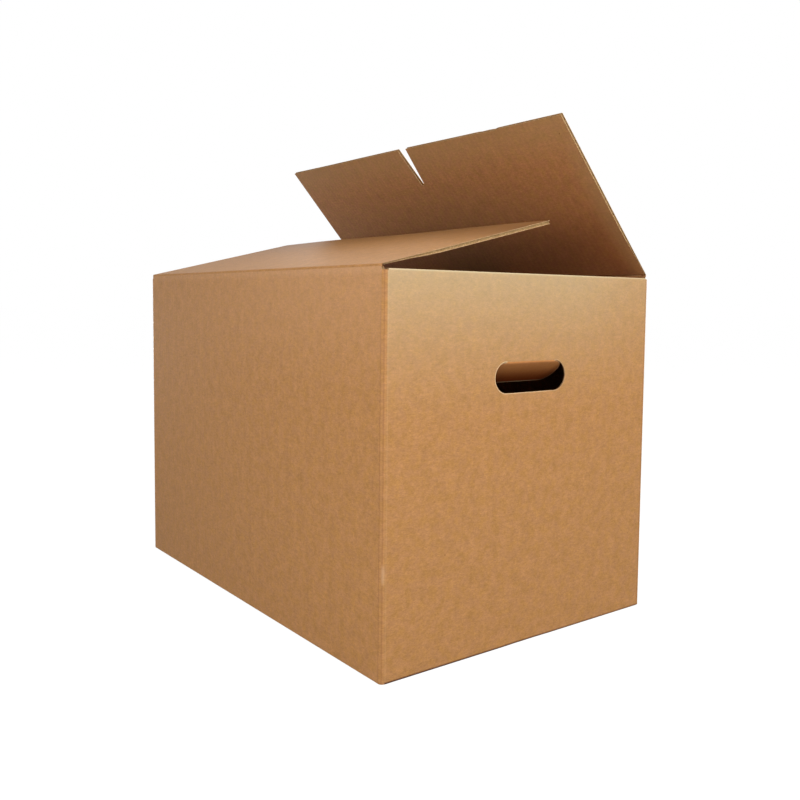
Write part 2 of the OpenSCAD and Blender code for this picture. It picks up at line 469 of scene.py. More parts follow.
# The second colour is painted shade towards the flaps' hinges.
rib_brown, hinge_shade_brown = paint(112, 72, 38), paint(100, 50, 20)
# Painted light towards the side flaps' edges; the fleck is the paper's own.
edge_light_tan, inner_fleck = paint(168, 138, 92), paint(92, 50, 26)
woolly_stops = [(0.3, paint(172, 130, 84)), (0.7, paint(226, 188, 142))]


def inner_liner():
    material, graph = new_material("kraft_inner_liner")
    flat, across, along = sheet_place(graph)
    colour, fibres, specks = paper_grain(graph, flat, inner_brown, inner_blush, 0.14, 7.0)
    ribs = ribs_of(across)
    # Painted shade, darker towards the side flaps' hinges and, more weakly, low inside the carton.
    hinge_shade = along.fade(55, 240, 0.47, 0.0) * across.fade(-(right_shift + 50), -100, 1.0, 0.55)
    # Painted light on the side flaps' inner faces, paler towards the free edges and near the right flap's
    # front edge.
    front = (across - (flap_front - right_shift) * MM).fade(0.0, 34, 0.3, 0.0)
    edges = along.fade(170, 240, 0.0, 0.35).maths("MAXIMUM", front) * on_flaps(across)
    marks = (
        (ribs * 0.035 + 0.035, rib_brown), (hinge_shade, hinge_shade_brown), (edges, edge_light_tan),
        (fleck_at(across, along, (-(285.8 + right_shift), 217), (0.6, 1.8), 0.55), inner_fleck),
    )
    for mask, tone in marks:
        colour = graph.mix(mask, colour, tone)
    relief = ribs * 0.3 + fibres * 0.6 + specks * 0.4
    return finish_paper(material, graph, colour, relief, 0.16, 0.68, 0.15)


def cut_edges():
    material, graph = new_material("kraft_cut_edge")
    wool = graph.noise(object_place(graph), 2.0, 500.0, 3.0)
    return finish_paper(material, graph, graph.ramp(wool, woolly_stops), wool, 0.3, 0.85, 0.15)


kraft_inner, kraft_cut = inner_liner(), cut_edges()
print(kraft_inner.name, kraft_cut.name)

# %% [markdown]
# ## The waved paper and the tape
# The waved paper shows only where the board is cut. It is rougher and darker than the liners, as
# it is made of shorter fibres. The tape under the box is thin brown plastic film: darker where
# its glue wets the board, with a clear gloss over it.

# %% Waved paper and tape
waved_stops = [(0.25, paint(128, 97, 58)), (0.55, paint(163, 130, 84)), (0.8, paint(216, 184, 138))]
tape_stops = [(0.35, paint(139, 92, 44)), (0.62, paint(164, 114, 60))]
tape_drawn = (500.0, 9.0, 1.0)      # its film was stretched lengthwise, which leaves fine lines


def waved_paper():
    material, graph = new_material("kraft_waved_paper")
    fibres = graph.noise(object_place(graph), 0.0, 420.0, 4.0, 0.65)
    return finish_paper(material, graph, graph.ramp(fibres, waved_stops), fibres, 0.3, 0.8, 0.2)


def tape_film():
    material, graph = new_material("tape_film")
    place = object_place(graph)
    wetting = graph.noise(place, 0.0, 55.0, 6.0)
    drawn = graph.node("ShaderNodeMapping", {}, {"Vector": place, "Scale": tape_drawn})
    pattern = wetting * 0.8 + graph.noise(drawn, 1.0, 1.0, 2.0) * 0.2
    finish(material, graph, graph.ramp(pattern, tape_stops), wetting * 0.2 + 0.2, (pattern, 0.4, 0.4), 0.3)
    graph.tree.nodes["Principled BSDF"].inputs["Coat Weight"].default_value = 0.12
    return material


kraft_waved, tape_plastic = waved_paper(), tape_film()
print(kraft_waved.name, tape_plastic.name)

# %% [markdown]
# ## A flat sheet with a cut outline
# The die cuts an outline, and the rest of the sheet needs points only where it will bend. A
# boolean cut would leave long thin faces, so the outline and a grid of lines go to a Delaunay
# triangulation, with the lines close together where a crease will be.

# %% Cut a sheet
close_points, close_to_cut = 0.05, 0.4      # points nearer together, or nearer to a cut, are left out


def span(start, end, step):
    """Places from start to end, about step apart."""
    return list(np.linspace(start, end, max(2, int(round(abs(end - start) / step)) + 1)))


def steps_of(*places):
    """Places in order, each once."""
    return sorted(set(np.round(np.concatenate(places), 3)))


def walk(outline, lines_u, lines_v):
    """The outline with a point wherever it crosses a grid line."""
    points = []
    for p, q in zip(outline, outline[1:] + outline[:1]):
        p, q = np.array(p, float), np.array(q, float)
        run, length = q - p, np.linalg.norm(q - p)
        share = [0.0]
        for axis, lines in ((0, lines_u), (1, lines_v)):
            if abs(run[axis]) > 1e-6:
                share += [(x - p[axis]) / run[axis] for x in lines]
        last = -1.0
        for s in sorted(s for s in share if 0 <= s <= 1 - close_points / length):
            if (s - last) * length > close_points or last < 0:
                points.append(tuple(p + s * run))
                last = s
    return points


def inside(points, outlines):
    """Which points lie in the cut sheet: those with an odd number of outline edges to their right."""
    odd = np.zeros(len(points), bool)
    x, y = points[:, 0], points[:, 1]
    for outline in outlines:
        for (ax, ay), (bx, by) in zip(outline, outline[1:] + outline[:1]):
            if ay != by:
                odd ^= ((ay > y) != (by > y)) & (x < (bx - ax) * (y - ay) / (by - ay) + ax)
    return odd


def gap_to(points, outlines):
    """Distance from each point to the nearest outline."""
    nearest = np.full(len(points), np.inf)
    for outline in outlines:
        for a, b in zip(outline, outline[1:] + outline[:1]):
            a, run = np.array(a), np.array(b) - np.array(a)
            share = np.clip(((points - a) @ run) / (run @ run), 0, 1)
            nearest = np.minimum(nearest, np.linalg.norm(points - a - share[:, None] * run, axis=1))
    return nearest


def cut_sheet(outlines, lines_u, lines_v, extra=()):
    """Points and triangles of a flat sheet inside the first outline and outside the others.

    Some extra points may be given, for a surface that bends off the grid."""
    walked = [walk(o, lines_u, lines_v) for o in outlines]
    grid = np.array([(u, v) for u in lines_u for v in lines_v])
    grid = grid[inside(grid, outlines)]
    grid = grid[gap_to(grid, outlines) > close_to_cut]
    points, edges = [], []
    for outline in walked:
        first = len(points)
        points += outline
        edges += [(first + i, first + (i + 1) % len(outline)) for i in range(len(outline))]
    points += [*(tuple(p) for p in grid), *extra]
    verts, _, faces, *_ = delaunay_2d_cdt([Vector(p) for p in points], edges, [], 0, 1e-5)
    flat = np.round([tuple(v) for v in verts], 3)
    faces = np.array([f for f in faces if len(f) == 3])
    return flat, faces[inside(flat[faces].mean(1), outlines)]


# %% Turn flat layers into folded meshes
sharp_angle = math.radians(35)


def make_mesh(name, points, faces, flat, materials, edge_faces=0):
    """A mesh in metres, its flat coordinates as its UV map, turned to face outwards.

    The last edge_faces faces take the second material."""
    points = points * MM
    fans = np.array([(f[0], f[i], f[i + 1]) for f in faces for i in range(1, len(f) - 1)])
    a, b, c = (points[fans[:, i]] for i in range(3))
    if np.einsum("ij,ij->", a, np.cross(b, c)) < 0:
        faces = [tuple(reversed(f)) for f in faces]
    mesh = bpy.data.meshes.new(name)
    mesh.from_pydata(points.tolist(), [], [tuple(int(i) for i in f) for f in faces])
    corners = np.zeros(len(mesh.loops), np.int32)
    mesh.loops.foreach_get("vertex_index", corners)
    mesh.uv_layers.new(name="flat").data.foreach_set("uv", (flat[corners] * MM).astype(np.float32).ravel())
    for material in materials:
        mesh.materials.append(material)
    mesh.polygons.foreach_set("material_index", [0] * (len(faces) - edge_faces) + [1] * edge_faces)
    mesh.shade_smooth()
    mesh.set_sharp_from_angle(angle=sharp_angle)
    piece = bpy.data.objects.new(name, mesh)
    bpy.context.scene.collection.objects.link(piece)
    return piece


def folded_layer(name, sheet, top, bottom, fold, materials):
    """One paper of the board, from depth top to depth bottom under its outer face, as a closed skin."""
    flat, triangles = sheet
    count = len(flat)
    points = np.vstack([fold(np.column_stack((flat, np.full(count, depth)))) for depth in (top, bottom)])
    sides = {(t[i], t[(i + 1) % 3]) for t in triangles.tolist() for i in range(3)}
    rim = [(b, a, count + a, count + b) for a, b in sorted(sides) if (b, a) not in sides]
    faces = [tuple(t) for t in triangles] + [tuple(count + i for i in reversed(t)) for t in triangles] + rim
    edge_faces = len(rim) if len(materials) > 1 else 0
    return make_mesh(name, points, faces, np.vstack((flat, flat)), materials, edge_faces)


def both_liners(name, sheet, fold):
    """The outer and the inner paper of a piece of board."""
    inner_from = board_t - liner_t
    return [
        folded_layer(name + "_outer_liner", sheet, 0.0, liner_t, fold, (kraft_outer, kraft_cut)),
        folded_layer(name + "_inner_liner", sheet, inner_from, board_t, fold, (kraft_inner, kraft_cut)),
    ]


def rectangle_sheet(low, high, step_u, step_v):
    """A plain rectangle between two corners, cut into a grid."""
    (u0, v0), (u1, v1) = low, high
    return cut_sheet([[(u0, v0), (u1, v0), (u1, v1), (u0, v1)]], span(u0, u1, step_u), span(v0, v1, step_v))


def crushed_edge(name, start, end, edge, way, fold):
    """The papers pinched together along a mitred edge, which closes the board there."""
    def place(points):
        u, depth, inward = points.T
        return fold(np.column_stack((u, edge + way * inward, depth)))
    sheet = rectangle_sheet((start, 0.12), (end, board_t - 0.1), 15, 1.3)
    return folded_layer(name, sheet, 0.0, 0.3, place, (kraft_inner,))


def frayed_edge(name, start, end, edge, way, fold):
    """Torn fibres of the waved paper that stand in an edge which was cut along a wave."""
    def place(points):
        v, w, depth = points.T
        hollow = 0.3 * np.sin(v * 0.83) * np.sin(v * 0.29 + w)
        bulge = 0.35 * np.sin(w * 1.9 + v * 0.11) ** 2
        return fold(np.column_stack((edge + way * (depth + (0.45 + hollow + bulge)), v, w)))
    sheet = rectangle_sheet((start, liner_t - 0.05), (end, board_t - liner_t + 0.05), 2.5, 0.65)
    return folded_layer(name, sheet, 0.0, 0.25, place, (kraft_waved,))


# %% [markdown]
# ## The waves, by Geometry Nodes
# Where the die cuts across the waves their zigzag shows, and where it cuts along them one wave
# is slit open. Both are the same paper, so one tree makes both: it follows the cut line, sweeps
# a strip inwards from it, lifts each point by a cosine of its place across the sheet, and gives
# the strip the thickness of paper. Modelling each wave by hand would take days, and an array
# would not follow a round hole.

# %% Geometry Nodes tree for the waves
def wave_tree():
    tree = bpy.data.node_groups.new("waves_along_a_cut", "GeometryNodeTree")
    sizes = {
        "Pitch": flute_pitch, "Height": 3.05, "Paper": 0.25, "Depth": 8.0,
        "Step along": 0.8, "Step in": 4.0, "Crush": 0.2, "Seed": 1.0,
    }
    tree.interface.new_socket("Cut lines", in_out="INPUT", socket_type="NodeSocketGeometry")
    for name, value in sizes.items():
        tree.interface.new_socket(name, in_out="INPUT", socket_type="NodeSocketFloat").default_value = value
    tree.interface.new_socket("Paper finish", in_out="INPUT", socket_type="NodeSocketMaterial")
    tree.interface.new_socket("Waves", in_out="OUTPUT", socket_type="NodeSocketGeometry")
    graph = Graph(tree)
    given = tree.nodes.new("NodeGroupInput")
    value = {socket.name: Wire(graph, socket) for socket in given.outputs if socket.name}

    def in_steps(curve, step):
        stepped = {"Curve": curve, "Length": value[step]}
        return graph.node("GeometryNodeResampleCurve", {"mode": "LENGTH"}, stepped)

    level_lines = graph.node("GeometryNodeSetCurveNormal", {"mode": "Z_UP"}, {"Curve": value["Cut lines"]})
    inward = graph.node("ShaderNodeCombineXYZ", {}, {"X": value["Depth"] * -1})
    line = graph.node("GeometryNodeCurvePrimitiveLine", {}, {"End": inward})
    strip_lines = {"Curve": in_steps(level_lines, "Step along"), "Profile Curve": in_steps(line, "Step in")}
    strip = graph.node("GeometryNodeCurveToMesh", {}, strip_lines)

    place = graph.node("GeometryNodeInputPosition", {}, {})
    across = graph.node("ShaderNodeSeparateXYZ", {}, {0: place}, 0)
    dents = graph.noise(place, value["Seed"], 0.045, 2.0)
    turn = (across + (dents - 0.5) * 2.5) * (2 * math.pi) / value["Pitch"]
    kept = 1 - dents.ease(0.5, 0.75) * value["Crush"]
    wave = turn.maths("COSINE") * kept * (value["Height"] - value["Paper"]) * 0.5
    lift = graph.node("ShaderNodeCombineXYZ", {}, {"Z": wave - value["Paper"] * 0.5})
    waved = graph.node("GeometryNodeSetPosition", {}, {"Geometry": strip, "Offset": lift})

    up_one = graph.node("ShaderNodeCombineXYZ", {}, {"Z": value["Paper"]})
    thicken = {"Mesh": waved, "Offset": up_one, "Offset Scale": 1.0, "Individual": False}
    top = graph.node("GeometryNodeExtrudeMesh", {}, thicken)
    under = graph.node("GeometryNodeFlipFaces", {}, {"Mesh": waved})
    both = graph.node("GeometryNodeJoinGeometry", {}, {"Geometry": under})
    tree.links.new(top.socket, both.socket.node.inputs["Geometry"])
    closed = graph.node("GeometryNodeMergeByDistance", {}, {"Geometry": both, "Distance": 0.01})
    real = graph.node("GeometryNodeRealizeInstances", {}, {"Geometry": closed})
    finish_given = {"Geometry": real, "Material": value["Paper finish"]}
    finished = graph.node("GeometryNodeSetMaterial", {}, finish_given)
    out = tree.nodes.new("NodeGroupOutput")
    tree.links.new(finished.socket, out.inputs["Waves"])
    return tree


waves_along_a_cut = wave_tree()
print("wave tree with", len(waves_along_a_cut.nodes), "nodes")


# %% Run the tree on cut lines
def run_tree(name, tree, lines, sizes):
    """Runs a tree on lines in the flat sheet, which have the board on their left, for points and faces."""
    guide = bpy.data.curves.new(name, "CURVE")
    guide.dimensions = "3D"
    for line, closed in lines:
        spline = guide.splines.new("POLY")
        spline.points.add(len(line) - 1)
        for point, (u, v) in zip(spline.points, line):
            point.co = (u, v, 0, 1)
        spline.use_cyclic_u = closed
    holder = bpy.data.objects.new(name, guide)
    bpy.context.scene.collection.objects.link(holder)
    modifier = holder.modifiers.new("tree", "NODES")
    modifier.node_group = tree
    sockets = {s.name: s.identifier for s in tree.interface.items_tree if s.in_out == "INPUT"}
    for key, value in sizes.items():
        modifier[sockets[key]] = value
    made = bpy.data.meshes.new_from_object(holder.evaluated_get(bpy.context.evaluated_depsgraph_get()))
    holder.modifiers.remove(modifier)
    bpy.data.objects.remove(holder)
    points = np.array([v.co for v in made.vertices], float).reshape(-1, 3)
    return np.round(points, 3), [tuple(face.vertices) for face in made.polygons]


def make_waves(name, lines, fold, sizes):
    """The waves along cut lines, folded with the board."""
    points, faces = run_tree(name, waves_along_a_cut, lines, {**sizes, "Paper finish": kraft_waved})
    flat = np.column_stack((points[:, :2], board_t / 2 - points[:, 2]))
    piece = make_mesh(name, fold(flat), faces, points[:, :2], (kraft_waved,))
    print(name, len(faces), "faces")
    return piece


fine_step = flute_pitch / 10        # ten points to a wave
across_cut = {"Step along": fine_step, "Step in": 4.0, "Seed": 1.0}
along_cut = {"Step along": 12.0, "Step in": fine_step, "Crush": 0.45, "Seed": 4.0}
round_cut = {"Step along": fine_step, "Step in": 0.8, "Depth": 6.0, "Seed": 1.0}
shortest_cut = 3.0                  # shorter edges of an outline get no waves


def cut_lines(outline):
    """Splits an outline into runs that cut across the waves and runs that slit along them."""
    level_runs, upright_runs = [], []
    for p, q in zip(outline, outline[1:] + outline[:1]):
        run = (q[0] - p[0], q[1] - p[1])
        if math.hypot(*run) > shortest_cut:
            (level_runs if abs(run[0]) > abs(run[1]) else upright_runs).append(((p, q), False))
    return level_runs, upright_runs


# %% [markdown]
# ## The folding rule of the carton
# A point at (u, v) in the flat sheet and w under its outer face is first put on the wall it
# belongs to, or turned about an upright fold. Past a wall's top or foot it then turns through a
# right angle onto its flap. The inner side has less room in a crease, so there it is pressed
# into the corner.

# %% A right-angled crease
crease_arc = 3.0                    # width of a crease in the flat sheet
crease_press = 6.0                  # how far beside it the board is pressed thinner


def right_angle(past, depth, r=crease_r, arc=crease_arc, press=crease_press):
    """Where a point lies that is past a crease's start by some way in the flat.

    The first value is how far on along the wall, the second how far out from its face."""
    pressed = np.maximum(depth - r, 0)
    theta = np.clip(past / arc, 0, 1) * math.pi / 2
    reach = np.maximum(r - depth, 0)
    before, after = np.minimum(past, 0), np.maximum(past - arc, 0)
    along = before - pressed * np.clip(1 + before / press, 0, 1) + reach * np.sin(theta)
    along = np.where(past >= arc, r - depth, along)
    out = np.where(past < 0, -depth, -r - pressed + reach * np.cos(theta))
    out = np.where(past >= arc, -r - after - pressed * np.clip(1 - after / press, 0, 1), out)
    return along, out


def hand_gap(u, v, middle):
    """Distance from a hand hole's outline, less than nothing inside it."""
    flat_half, r = (hand_w - hand_h) / 2, hand_h / 2
    return np.hypot(np.maximum(np.abs(u - middle) - flat_half, 0), v - hand_z) - r


hole_crush, crush_reach = 0.65, 6.0     # how much thinner board gets at a hole, and how far round it


def crushed_round_hole(u, v, w):
    """Depths in the board after the die has pressed it together along a hand hole's outline."""
    for middle in end_middles:
        near = np.clip(1 - np.abs(hand_gap(u, v, middle)) / crush_reach, 0, 1)
        w = w * (1 - hole_crush * near ** 2)
    return w


def push_in_tab(u, v, w, middle, z, out):
    """Bends the cut-out of a hand hole inwards about its top edge."""
    tab = hand_gap(u, v, middle) < -tab_cut / 2
    bend, stretch = 3.4, 34.5 / 31.1          # the bend takes up some of the tab's length
    below = hand_z + hand_h / 2 - v
    turn = tab_angle * np.clip(below / bend, 0, 1)
    way, depth = np.maximum(below - bend, 0) * stretch, board_t - w
    z = np.where(tab, hand_z + hand_h / 2 - way * np.cos(turn) - depth * np.sin(turn), z)
    return z, np.where(tab, -board_t + depth * np.cos(turn) - way * np.sin(turn), out)


# %% Folding rule of the carton
top_edge, head = crease_z - root_gap, wall_h - crease_r
end_foot = 1.6                      # where an end wall turns in; its flap then climbs onto the side flaps
foot_climb = 12.0                   # over how much of its length it climbs
flap_over = 3.6                     # how far a flap may run past the flat of its wall
foot_past, head_past = 2.4, 3.4     # past a wall's foot or head by this, a point is its flap's
join = 1e-4                         # points this near a panel's end belong to it
mitre_reach, corner_reach = 10.0, 2.6       # how far from a mitred edge the board slants and is rounded
corner_off, corner_in = 0.5, 0.45   # how far the outer corner draws back along the board and in
tape_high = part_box("bottom_tape")[1]
tape_half_w, tape_half_len = tape_high.x / MM, tape_high.y / MM
over_tape = 0.22                    # how far the board bulges over the tape


def outer_corner(past, w):
    """How much of an outer corner's rounding a point takes, by its way past the edge and its depth."""
    return np.clip((past + corner_reach) / corner_reach, 0, 1) ** 2 * (1 - w / board_t)


def mitre_top(v, w, z, out):
    """Slants a side wall's top edge and rounds its outer corner, where its flap is hinged."""
    past = v - top_edge
    corner = outer_corner(past, w)
    z = z - w * np.clip((past + mitre_reach) / mitre_reach, 0, 1) - corner_off * corner
    return z, out - corner_in * corner


def fold_carton(points):
    """Folds points (u, v, w) of the flat carton to their places in the box."""
    u, v, w = points.T
    w = crushed_round_hole(u, v, w)
    placed = np.zeros((len(points), 3))
    for panel, fold in zip(panels, [*folds, None]):
        start, end = panel["start"], panel["end"]
        side_wall = panel["name"] in ("right", "left")
        end_wall = panel["name"] in ("front", "back")
        foot = crease_r if side_wall else end_foot
        past_end = (v < foot - foot_past) | (end_wall & (v > head + head_past))
        past_end &= (u > start - flap_over) & (u < end + flap_over) & (panel["name"] != "lap")
        mine = (u > start - join) & (u < end + join) | past_end
        out, z = -w.copy(), v.copy()
        if end_wall:
            up_way, up_out = right_angle(v - head, w)
            high = v > head - crease_press
            z, out = np.where(high, head + up_way, z), np.where(high, up_out, out)
        if end_wall or side_wall:
            down_way, down_out = right_angle(foot - v, w)
            low = v < foot + crease_press
            z, out = np.where(low, foot - down_way, z), np.where(low, down_out, out)
        if end_wall:
            climb = np.clip((foot - crease_arc - v) / foot_climb, 0, 1)
            z = z + (lower_z - foot + crease_r) * climb * climb * (3 - 2 * climb)
        if side_wall:
            z, out = mitre_top(v, w, z, out)
        if end_wall:
            z, out = push_in_tab(u, v, w, start + end_run / 2, z, out)
        along = panel["spot"] + (u - start)[:, None] * panel["heading"] + out[:, None] * panel["outward"]
        placed[mine] = np.column_stack((along, z))[mine]
        if fold:
            bend = (u > end + join) & (u < end + fold_len - join) & ~past_end & (v > -0.5)
            theta = ((u - end) / fold_len * math.pi / 2)[:, None]
            spoke = np.cos(theta) * fold["outward"] + np.sin(theta) * fold["heading"]
            placed[bend] = np.column_stack((fold["centre"] + (corner_r - w)[:, None] * spoke, v))[bend]
    on_tape = np.clip((tape_half_w + 2 - np.abs(placed[:, 0])) / 1.5, 0, 1) * (placed[:, 2] < board_t + 0.2)
    placed[:, 2] += over_tape * on_tape
    return placed


# %% [markdown]
# ## The carton
# One outline holds four walls, four bottom flaps, two top end flaps and the glue lap, with slots
# between the flaps. The two side flaps at the top are left out, because they move. Each hand
# hole is cut as a thin loop round a tab that stays joined along its top.

# %% Outline of the carton
slot_low, slot_high = 0.8, head                   # ends of the slots between flaps
side_tip = -(half_w - 0.5)                        # free edge of the bottom side flaps, at the seam
tip, foot_tip = wall_h + end_flap_depth, lower_z - end_flap_depth
side_short, shoulder = 7.0, -1.0                  # the bottom side flaps stop short of the end walls' creases
end_in = 0.5                                      # each end flap stays this far inside its wall's ends
back_over = 3.5                                   # but the back ones run on past the wall's lapped end
raw_in = 11.6                                     # the right bottom flap stays back from the raw edge
lap_low, lap_high, lap_slant = 16.45, 408.0, 4.0  # the glue lap's ends, and how much they slant
hinged_0, hinged_1 = flat_start - flap_back, half_len - corner_r - flap_back
carton_outline = [
    (raw_in, side_tip), (R1 - side_short, side_tip), (R1 - side_short, shoulder), (R1, shoulder),
    (R1, slot_low),
    (F0 + end_in, slot_low), (F0 + end_in, foot_tip), (F1 - end_in, foot_tip), (F1 - end_in, slot_low),
    (L0, slot_low), (L0, shoulder), (L0 + side_short, shoulder), (L0 + side_short, side_tip),
    (L1 - side_short, side_tip), (L1 - side_short, shoulder), (L1, shoulder), (L1, slot_low),
    (B0 + end_in, slot_low), (B0 + end_in, foot_tip), (B1 + back_over, foot_tip), (B1 + back_over, -0.7),
    (B1, -0.7), (B1, slot_low),
    (P0, lap_low), (P1, lap_low + lap_slant), (P1, lap_high - lap_slant), (P0, lap_high),
    (B1, slot_high), (B1, slot_high + 4), (B1 + back_over, slot_high + 4), (B1 + back_over, tip),
    (B0 + end_in, tip), (B0 + end_in, slot_high),
    (L1 - hinged_1, slot_high), (L1 - hinged_1, top_edge), (L0, top_edge), (L0, slot_high),
    (F1 - end_in, slot_high), (F1 - end_in, tip), (F0 + end_in, tip), (F0 + end_in, slot_high),
    (R1, slot_high), (R1, top_edge), (hinged_0, top_edge), (hinged_0, slot_high),
    (R0, slot_high), (R0, shoulder), (raw_in, shoulder),
]


def hand_loop(middle, inset):
    """Round-ended outline of a hand hole or its tab, from the top right, clockwise."""
    flat_half, r, turns = (hand_w - hand_h) / 2, hand_h / 2 - inset, 16
    loop = []
    for side in (1, -1):
        for k in range(turns + 1):
            angle = math.radians(90 - 180 * k / turns)
            u = middle + side * flat_half + side * r * math.cos(angle)
            loop.append((u, hand_z + side * r * math.sin(angle)))
    return loop


def hand_cut(middle):
    """The thin loop that the die cuts round a tab, open along the tab's top edge."""
    hole, tab = hand_loop(middle, 0.0), hand_loop(middle, tab_cut)
    tab[0] = (tab[0][0] - tab_cut, hole[0][1])
    tab[-1] = (tab[-1][0] + tab_cut, hole[-1][1])
    return hole + tab[::-1]


# %% Cut and fold the carton's papers
hand_top = hand_z + hand_h / 2
grid_step = 18.0                    # between the grid's lines where the sheet stays flat
near_top, near_end = (corner_reach, 1.6, 0.6), (2.5, 6)     # ways from an edge to the lines beside it
near_hole = (37.5, 29.5, 23.5, 17.5, 11.5, 5.5, 3.4, 2.4, 1.5, 0.7, 0, -1.5)    # ways down from a hole's top
carton_v = steps_of(
    span(foot_tip, -9, grid_step), (-6, 9, 12), span(20, 280, grid_step), span(334, 404, grid_step),
    span(430, tip, grid_step),
    span(slot_high, slot_high + 3, 0.5), span(-13.5, -1.5, 2), span(-crease_r, 2, 0.5),
    (412.5, 414.2, 415.5), [top_edge - d for d in near_top], [hand_top - d for d in near_hole])
carton_u = [0.0]
for panel in panels:
    start, end = panel["start"], panel["end"]
    carton_u += span(start, end, grid_step) + [start + d for d in near_end] + [end - d for d in near_end]
for fold in folds:
    carton_u += span(fold["start"], fold["start"] + fold_len, 0.75)
insets = (-crush_reach, -crush_reach / 2, crush_reach / 2, crush_reach)
rings = [place for middle in end_middles for inset in insets for place in hand_loop(middle, inset)]
carton_cuts = [carton_outline, *(hand_cut(middle) for middle in end_middles)]
carton_sheet = cut_sheet(carton_cuts, steps_of(carton_u), carton_v, rings)
carton_pieces = both_liners("carton", carton_sheet, fold_carton)
print("carton sheet", len(carton_sheet[0]), "points,", len(carton_sheet[1]), "triangles")

# %% Waves and crushed edges of the carton
carton_level, carton_upright = cut_lines(carton_outline)
carton_level = [run for run in carton_level if any(v != top_edge for _, v in run[0])]
hole_waves, tab_waves = -2.6, tab_cut + 0.05    # how far inside a hole's outline the waves start
hole_lines = [(hand_loop(middle, hole_waves), True) for middle in end_middles]
tab_lines = [(hand_loop(middle, tab_waves)[::-1], False) for middle in end_middles]
carton_pieces += [
    make_waves("carton_waves_across", carton_level, fold_carton, across_cut),
    make_waves("carton_waves_along", carton_upright, fold_carton, along_cut),
    make_waves("carton_waves_holes", hole_lines, fold_carton, round_cut),
    make_waves("carton_waves_tabs", tab_lines, fold_carton, round_cut),
    crushed_edge("carton_crushed_edge_left", L0, L1 - hinged_1, top_edge, -1, fold_carton),
    crushed_edge("carton_crushed_edge_right", hinged_0, R1, top_edge, -1, fold_carton),
]
for piece in carton_pieces:
    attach(piece, "box")
    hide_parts("carton")

# %% [markdown]
# ## The hinged side flaps
# Each flap is a plain sheet that turns about its crease. Its root is mitred, as the solid's is,
# so that it closes and hangs down without cutting the wall. The right one has the tapered slot
# and a small torn place in its free edge. A sheet this large never stays quite flat, so the free
# edges wave a little, upwards only, which keeps them clear of the flaps below.

# %% Side flaps
pinch_wide, pinch_deep, pinch_most = 70.0, 65.0, 0.6    # the thinned front corner of each flap's root
edge_wave, wave_length = 0.6, 58.0      # half the rise of the free edge, and the length of one radian of it


def fold_side_flap(side, angle):
    """The folding rule of a side flap: u lies along Y, v runs from the crease to the free edge."""
    def fold(points):
        u, v, w = points.T
        pinch = np.clip(1 - (u - flap_front) / pinch_wide, 0, 1) * np.clip(1 - v / pinch_deep, 0, 1)
        w = w * (1 - pinch_most * pinch * (2 - pinch))
        corner = outer_corner(root_gap - v, w)
        s = v + w * np.clip(1 - (v - root_gap) / mitre_reach, 0, 1) + corner_off * corner
        out = -crease_off - w - corner_in * corner
        out = out + edge_wave * (v / flap_depth) ** 2 * (1 + np.sin(u / wave_length + side))
        x = crease_x - s * math.cos(angle) + out * math.sin(angle)
        return np.column_stack((side * x, u, crease_z + s * math.sin(angle) + out * math.cos(angle)))
    return fold


def side_flap(name, side, angle, outline):
    """Papers, waves and edges of a side flap, with their pattern moved to its own stretch of the sheet."""
    lines_v = steps_of(span(12, flap_depth - 5, 16), [root_gap, 0.9, 1.5, 2.2, 3, 5, 8, flap_depth])
    sheet = cut_sheet([outline], span(flap_front, flap_back, grid_step), lines_v)
    fold = fold_side_flap(side, angle)
    level_runs, upright_runs = cut_lines(outline)
    level_runs = [run for run in level_runs if run[0][0][1] > root_gap + 1]
    frayed_from, frayed_to = 2.0, flap_depth - 0.6
    pieces = both_liners(name, sheet, fold) + [
        make_waves(name + "_waves_across", level_runs, fold, across_cut),
        make_waves(name + "_waves_along", upright_runs, fold, along_cut),
        crushed_edge(name + "_crushed_root", flap_front, flap_back, root_gap, 1, fold),
        frayed_edge(name + "_frayed_front", frayed_from, frayed_to, flap_front, 1, fold),
        frayed_edge(name + "_frayed_back", frayed_from, frayed_to, flap_back, -1, fold),
    ]
    for piece in pieces:
        uvs = piece.data.uv_layers["flat"].data
        places = np.zeros(2 * len(uvs), np.float32)
        uvs.foreach_get("uv", places)
        places[::2] -= (left_shift if side < 0 else right_shift) * MM
        uvs.foreach_set("uv", places)
        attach(piece, name)
        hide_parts(name.replace("flap", "top_flap"))


slot_depth, slot_r, slot_mouth_r = 62.0, 3.25, 9.25
blind = flap_depth - slot_depth + slot_r        # middle of the slot's round end
turns = [math.radians(k) for k in range(0, 181, 20)]
slot_end = [(slot_r * math.cos(turn), blind - slot_r * math.sin(turn)) for turn in turns]
tears = ((-160.0, 0.0), (-167.0, 0.6), (-180.0, 0.4), (-191.0, 0.9), (-196.0, 0.0))     # places, depths
torn = [(u, flap_depth - depth) for u, depth in tears]
root = [(flap_front, root_gap), (flap_back, root_gap)]
slot = [(slot_mouth_r, flap_depth), *slot_end, (-slot_mouth_r, flap_depth)]
left_outline = [*root, (flap_back, flap_depth), (flap_front, flap_depth)]
right_outline = [*root, (flap_back, flap_depth), *slot, *torn, (flap_front, flap_depth)]
side_flap("left_flap", -1, left_open, left_outline)
side_flap("right_flap", 1, right_open, right_outline)

# %% [markdown]
# ## The paper across the two hinges
# At a hinge the outer liner runs on from the wall into the flap. A thin strip covers the joint
# there, bent for the flap's present angle, and everything else stays stiff. One sheet of cloth
# over the whole flap would bend too, but board stays flat.

